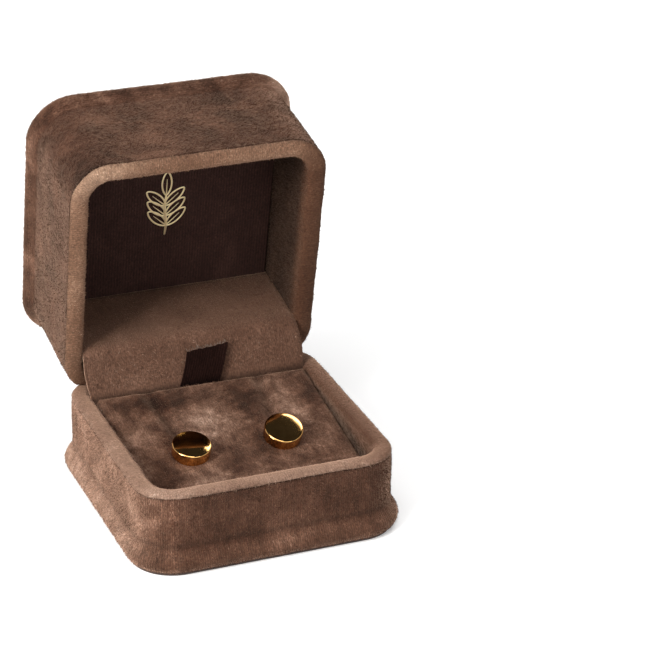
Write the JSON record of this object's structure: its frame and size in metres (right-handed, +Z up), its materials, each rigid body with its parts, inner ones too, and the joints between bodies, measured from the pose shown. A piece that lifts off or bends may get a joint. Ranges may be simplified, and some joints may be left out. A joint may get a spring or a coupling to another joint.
{
  "type": "earring box",
  "caption": "Hinged velvet-covered jewellery box with a padded domed lid and a sloping removable insert that holds a pair of stud earrings.",
  "frame": {"origin": "middle of the base's underside, on the felt", "axes": "+Z up, +X across the box to the viewer's right, and the open front of the box faces -Y"},
  "size_m": [0.0584, 0.0811, 0.0759],
  "materials": {
    "velvet": "mid-brown velvet with soft nap",
    "dark_velvet": "near-black brown ribbed velvet",
    "felt": "dark brown felt",
    "ribbon": "dark brown ribbed ribbon",
    "foam": "soft open foam",
    "card": "grey board",
    "shell_plastic": "moulded, dark brown",
    "hinge_steel": "plain spring steel",
    "gold": "polished gold plate",
    "gold_foil": "pressed gold foil"
  },
  "bodies": {
    "base": {"base_shell": "shell_plastic", "base_outer_wrap": "velvet", "base_rim_lining": "velvet", "underside_board": "card", "underside_felt": "felt", "riser_frame": "card", "flap_tail": "velvet", "hinge_base_leaf": "hinge_steel", "hinge_base_rivets": "hinge_steel", "hinge_pin": "hinge_steel", "snap_spring": "hinge_steel"},
    "lid": {"lid_shell": "shell_plastic", "lid_outer_wrap": "velvet", "lid_rim_lining": "velvet", "lid_panel_board": "card", "lid_panel_cover": "dark_velvet", "lid_ornament": "gold_foil", "lid_flap_cover": "velvet", "lid_flap_board": "card", "lid_top_board": "card", "lid_top_foam": "foam", "lid_top_cover": "velvet", "hinge_lid_leaf": "hinge_steel", "hinge_lid_rivets": "hinge_steel"},
    "insert": {"insert_card": "card", "insert_foam": "foam", "insert_cover": "velvet", "pull_ribbon": "ribbon", "left_clutch": "gold", "right_clutch": "gold"},
    "left_earring": {"left_stud": "gold"},
    "right_earring": {"right_stud": "gold"}
  },
  "joints": [
    {"name": "lid_hinge", "type": "hinge", "parent": "base", "child": "lid", "pos_m": [0, 0.0244, 0.0186], "axis": [-1, 0, 0], "range_deg": [-80.2, 0]},
    {"name": "insert_lift", "type": "slide", "parent": "base", "child": "insert", "axis": [0, 0, 1], "range_m": [0, 0.0058]},
    {"name": "left_stud_pull", "type": "slide", "parent": "insert", "child": "left_earring", "axis": [0, -0.2554, 0.9668], "range_m": [0, 0.011]},
    {"name": "right_stud_pull", "type": "slide", "parent": "insert", "child": "right_earring", "axis": [0, -0.3714, 0.9285], "range_m": [0, 0.011]}
  ]
}
